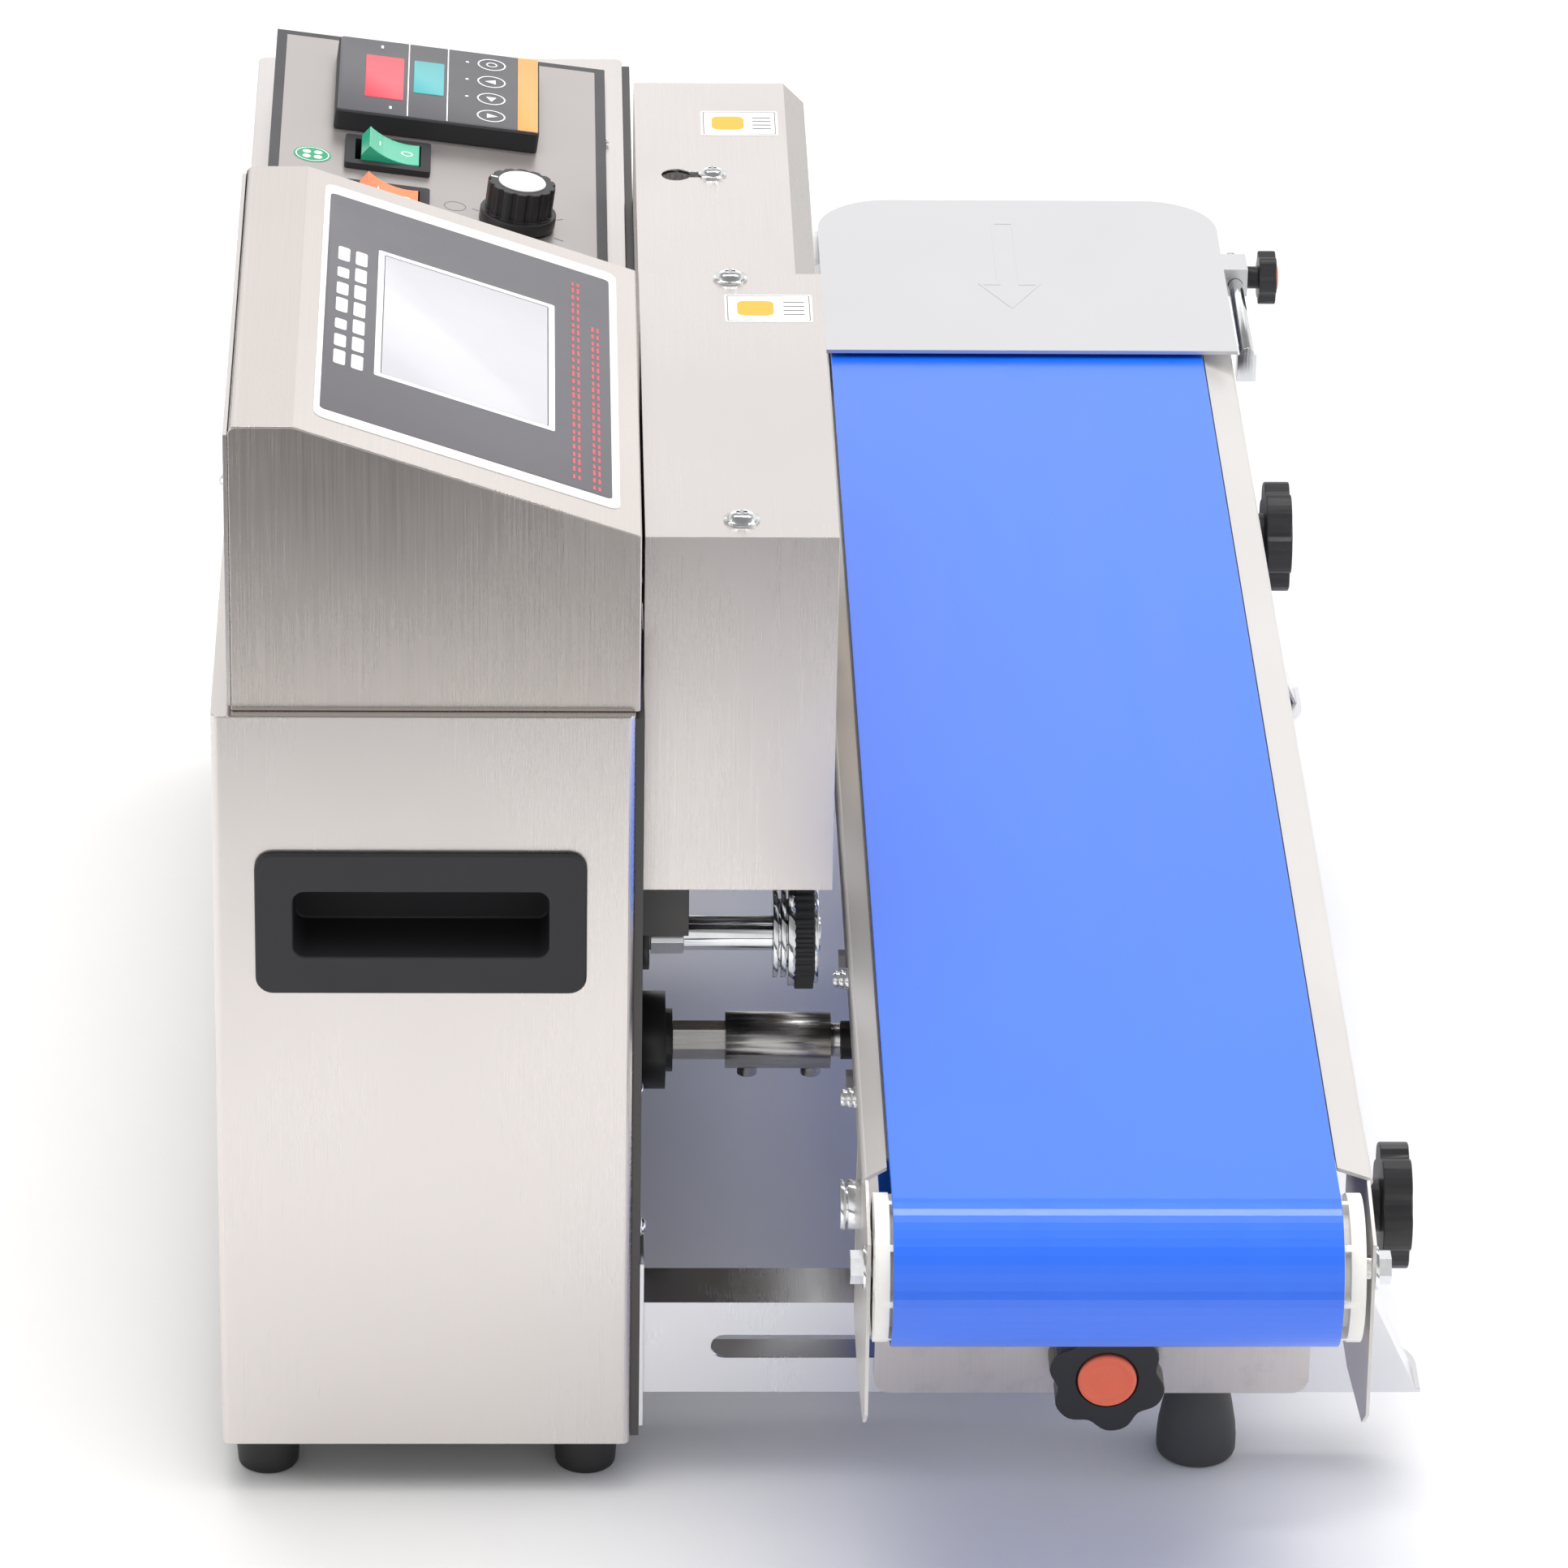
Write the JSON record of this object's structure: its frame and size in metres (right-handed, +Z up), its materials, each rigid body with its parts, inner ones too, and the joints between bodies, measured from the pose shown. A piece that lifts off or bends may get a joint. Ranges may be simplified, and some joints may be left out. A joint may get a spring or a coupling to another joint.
{
  "type": "continuous band sealer",
  "caption": "Bench continuous band sealer: steel cabinet with guarded sealing head, tilted control panel and counter box, beside a blue belt conveyor on slotted brackets.",
  "frame": {"origin": "middle of the machine's footprint, on the surface that it stands on", "axes": "+X from the outfeed end to the infeed end, +Y from the conveyor to the cabinet's rear, +Z up"},
  "size_m": [0.8532, 0.424, 0.414],
  "materials": {
    "steel": "brushed",
    "dark_steel": "satin",
    "zinc": "satin",
    "chrome": "polished",
    "machined": "turned",
    "black_plastic": "fine texture",
    "rubber": "matte",
    "grey_rubber": "matte",
    "panel_frame": "satin",
    "panel_plate": "satin",
    "green_rocker": "gloss",
    "orange_rocker": "gloss",
    "motor": "satin",
    "brass": "machined",
    "aluminium": "machined",
    "seal_belt": "woven, coated",
    "chain": "oiled",
    "belt": "satin coating on woven fabric",
    "roller_plastic": "satin",
    "bed": "galvanised",
    "feed_sheet": "satin"
  },
  "bodies": {
    "frame": {"cabinet_shell": "steel", "side_plate": "dark_steel", "base_plate": "steel", "cabinet_feet": "rubber", "near_grip": "black_plastic", "far_grip": "black_plastic", "panel_frame": "panel_frame", "panel_plate": "panel_plate", "controller_case": "black_plastic", "rocker_bezels": "black_plastic", "display_box": "steel", "display_back_plate": "steel", "guard_near": "steel", "guard_far": "steel", "machine_screws": "zinc", "power_inlet": "black_plastic", "gear_motor": "motor", "shaft_bearings": "black_plastic", "lower_blocks": "brass", "press_bar": "dark_steel", "wheel_bracket": "dark_steel", "upper_seal_belt": "seal_belt", "lower_seal_belt": "seal_belt", "feed_chain": "chain", "near_bracket": "zinc", "far_bracket": "zinc", "bracket_feet": "grey_rubber"},
    "conveyor": {"left_rail": "steel", "right_rail": "steel", "conveyor_bed": "bed", "conveyor_belt": "belt", "conveyor_bolts": "zinc", "feed_rod": "chrome", "counting_switch": "black_plastic"},
    "drive_gear": {"drive_gear": "machined"},
    "lower_drive_wheel": {"lower_drive_wheel": "machined"},
    "upper_drive_wheel": {"upper_drive_wheel": "machined"},
    "lower_idler_wheel": {"lower_idler_wheel": "machined"},
    "upper_idler_wheel": {"upper_idler_wheel": "machined"},
    "lower_feed_wheel": {"lower_feed_wheel": "chrome", "lower_feed_ring": "rubber"},
    "upper_feed_wheel": {"upper_feed_wheel": "chrome"},
    "conveyor_shaft": {"conveyor_shaft": "machined"},
    "drive_roller": {"drive_roller": "machined", "coupling_sleeve": "zinc"},
    "near_roller": {"near_roller": "roller_plastic"},
    "far_roller": {"far_roller": "roller_plastic"},
    "near_snub_roller": {"near_snub_roller": "machined"},
    "far_snub_roller": {"far_snub_roller": "machined"},
    "near_star_knob": {"near_star_knob": "black_plastic"},
    "far_star_knob": {"far_star_knob": "black_plastic"},
    "near_side_knob": {"near_side_knob": "black_plastic"},
    "far_side_knob": {"far_side_knob": "black_plastic"},
    "feed_plate": {"feed_plate": "feed_sheet"},
    "feed_knob": {"feed_knob": "black_plastic"},
    "power_rocker": {"power_rocker": "green_rocker"},
    "heat_rocker": {"heat_rocker": "orange_rocker"},
    "speed_knob": {"speed_knob": "black_plastic"},
    "upper_heating_block": {"upper_heating_block": "brass"},
    "upper_cooling_block": {"upper_cooling_block": "aluminium"}
  },
  "joints": [
    {"name": "conveyor_slide", "type": "slide", "parent": "frame", "child": "conveyor", "axis": [0, -1, 0], "range_m": [-0.003, 0.025]},
    {"name": "near_roller_spin", "type": "hinge", "parent": "conveyor", "child": "near_roller", "pos_m": [-0.4, -0.092, 0.16], "axis": [0, 1, 0], "continuous": true},
    {"name": "far_roller_spin", "type": "hinge", "parent": "conveyor", "child": "far_roller", "pos_m": [0.4, -0.092, 0.16], "axis": [0, 1, 0], "continuous": true},
    {"name": "near_snub_roller_spin", "type": "hinge", "parent": "conveyor", "child": "near_snub_roller", "pos_m": [-0.201, -0.092, 0.1193], "axis": [0, 1, 0], "continuous": true},
    {"name": "far_snub_roller_spin", "type": "hinge", "parent": "conveyor", "child": "far_snub_roller", "pos_m": [-0.111, -0.092, 0.1193], "axis": [0, 1, 0], "continuous": true},
    {"name": "drive_roller_spin", "type": "hinge", "parent": "conveyor", "child": "drive_roller", "pos_m": [-0.156, -0.092, 0.1115], "axis": [0, 1, 0], "continuous": true},
    {"name": "conveyor_shaft_spin", "type": "hinge", "parent": "frame", "child": "conveyor_shaft", "pos_m": [-0.156, 0.018, 0.1115], "axis": [0, 1, 0], "continuous": true},
    {"name": "drive_gear_spin", "type": "hinge", "parent": "frame", "child": "drive_gear", "pos_m": [-0.11633, 0.018, 0.13275], "axis": [0, 1, 0], "continuous": true},
    {"name": "lower_drive_wheel_spin", "type": "hinge", "parent": "frame", "child": "lower_drive_wheel", "pos_m": [-0.116, 0.018, 0.18675], "axis": [0, 1, 0], "continuous": true},
    {"name": "upper_drive_wheel_spin", "type": "hinge", "parent": "frame", "child": "upper_drive_wheel", "pos_m": [-0.116, 0.018, 0.23925], "axis": [0, 1, 0], "continuous": true},
    {"name": "lower_idler_wheel_spin", "type": "hinge", "parent": "frame", "child": "lower_idler_wheel", "pos_m": [0.129, 0.018, 0.18675], "axis": [0, 1, 0], "continuous": true},
    {"name": "upper_idler_wheel_spin", "type": "hinge", "parent": "frame", "child": "upper_idler_wheel", "pos_m": [0.129, 0.018, 0.23925], "axis": [0, 1, 0], "continuous": true},
    {"name": "lower_feed_wheel_spin", "type": "hinge", "parent": "frame", "child": "lower_feed_wheel", "pos_m": [-0.226, 0.018, 0.1932], "axis": [0, 1, 0], "continuous": true},
    {"name": "upper_feed_wheel_spin", "type": "hinge", "parent": "frame", "child": "upper_feed_wheel", "pos_m": [-0.226, 0.018, 0.2328], "axis": [0, 1, 0], "continuous": true},
    {"name": "near_star_knob_turn", "type": "hinge", "parent": "conveyor", "child": "near_star_knob", "pos_m": [-0.28, -0.099, 0.055], "axis": [-1, 0, 0], "range_deg": [0, 720]},
    {"name": "far_star_knob_turn", "type": "hinge", "parent": "conveyor", "child": "far_star_knob", "pos_m": [0.28, -0.099, 0.055], "axis": [1, 0, 0], "range_deg": [0, 720]},
    {"name": "near_side_knob_turn", "type": "hinge", "parent": "conveyor", "child": "near_side_knob", "pos_m": [-0.3445, -0.1792, 0.152], "axis": [0, -1, 0], "range_deg": [0, 720]},
    {"name": "far_side_knob_turn", "type": "hinge", "parent": "conveyor", "child": "far_side_knob", "pos_m": [0.182, -0.1792, 0.152], "axis": [0, -1, 0], "range_deg": [0, 720]},
    {"name": "feed_plate_slide", "type": "slide", "parent": "conveyor", "child": "feed_plate", "axis": [1, 0, 0], "range_m": [-0.05, 0.002]},
    {"name": "feed_knob_turn", "type": "hinge", "parent": "feed_plate", "child": "feed_knob", "pos_m": [0.364, -0.191, 0.183], "axis": [0, -1, 0], "range_deg": [0, 360]},
    {"name": "power_rocker_rock", "type": "hinge", "parent": "frame", "child": "power_rocker", "pos_m": [0.1595, 0.15926, 0.32008], "axis": [-1, 0, 0], "range_deg": [0, 32]},
    {"name": "heat_rocker_rock", "type": "hinge", "parent": "frame", "child": "heat_rocker", "pos_m": [0.116, 0.15926, 0.32008], "axis": [-1, 0, 0], "range_deg": [0, 32]},
    {"name": "speed_knob_turn", "type": "hinge", "parent": "frame", "child": "speed_knob", "pos_m": [0.112, 0.1095, 0.31554], "axis": [0, -0.1305, 0.9914], "range_deg": [-150, 150]},
    {"name": "upper_heating_block_lift", "type": "slide", "parent": "frame", "child": "upper_heating_block", "axis": [0, 0, 1], "range_m": [0, 0.002], "stiffness_N_per_m": 1500, "springref_m": -0.006},
    {"name": "upper_cooling_block_lift", "type": "slide", "parent": "frame", "child": "upper_cooling_block", "axis": [0, 0, 1], "range_m": [0, 0.002], "stiffness_N_per_m": 1500, "springref_m": -0.006}
  ],
  "couplings": [
    {"joint": "far_roller_spin", "follows": "near_roller_spin", "ratio": 1},
    {"joint": "near_snub_roller_spin", "follows": "near_roller_spin", "ratio": -1.7407},
    {"joint": "far_snub_roller_spin", "follows": "near_roller_spin", "ratio": -1.7407},
    {"joint": "drive_roller_spin", "follows": "near_roller_spin", "ratio": 1.3714},
    {"joint": "conveyor_shaft_spin", "follows": "near_roller_spin", "ratio": 1.3714},
    {"joint": "drive_gear_spin", "follows": "near_roller_spin", "ratio": -1.7142},
    {"joint": "lower_drive_wheel_spin", "follows": "near_roller_spin", "ratio": 1.0083},
    {"joint": "upper_drive_wheel_spin", "follows": "near_roller_spin", "ratio": -1.0083},
    {"joint": "lower_idler_wheel_spin", "follows": "near_roller_spin", "ratio": 1.0083},
    {"joint": "upper_idler_wheel_spin", "follows": "near_roller_spin", "ratio": -1.0083},
    {"joint": "lower_feed_wheel_spin", "follows": "near_roller_spin", "ratio": 1.3132},
    {"joint": "upper_feed_wheel_spin", "follows": "near_roller_spin", "ratio": -1.3132}
  ]
}
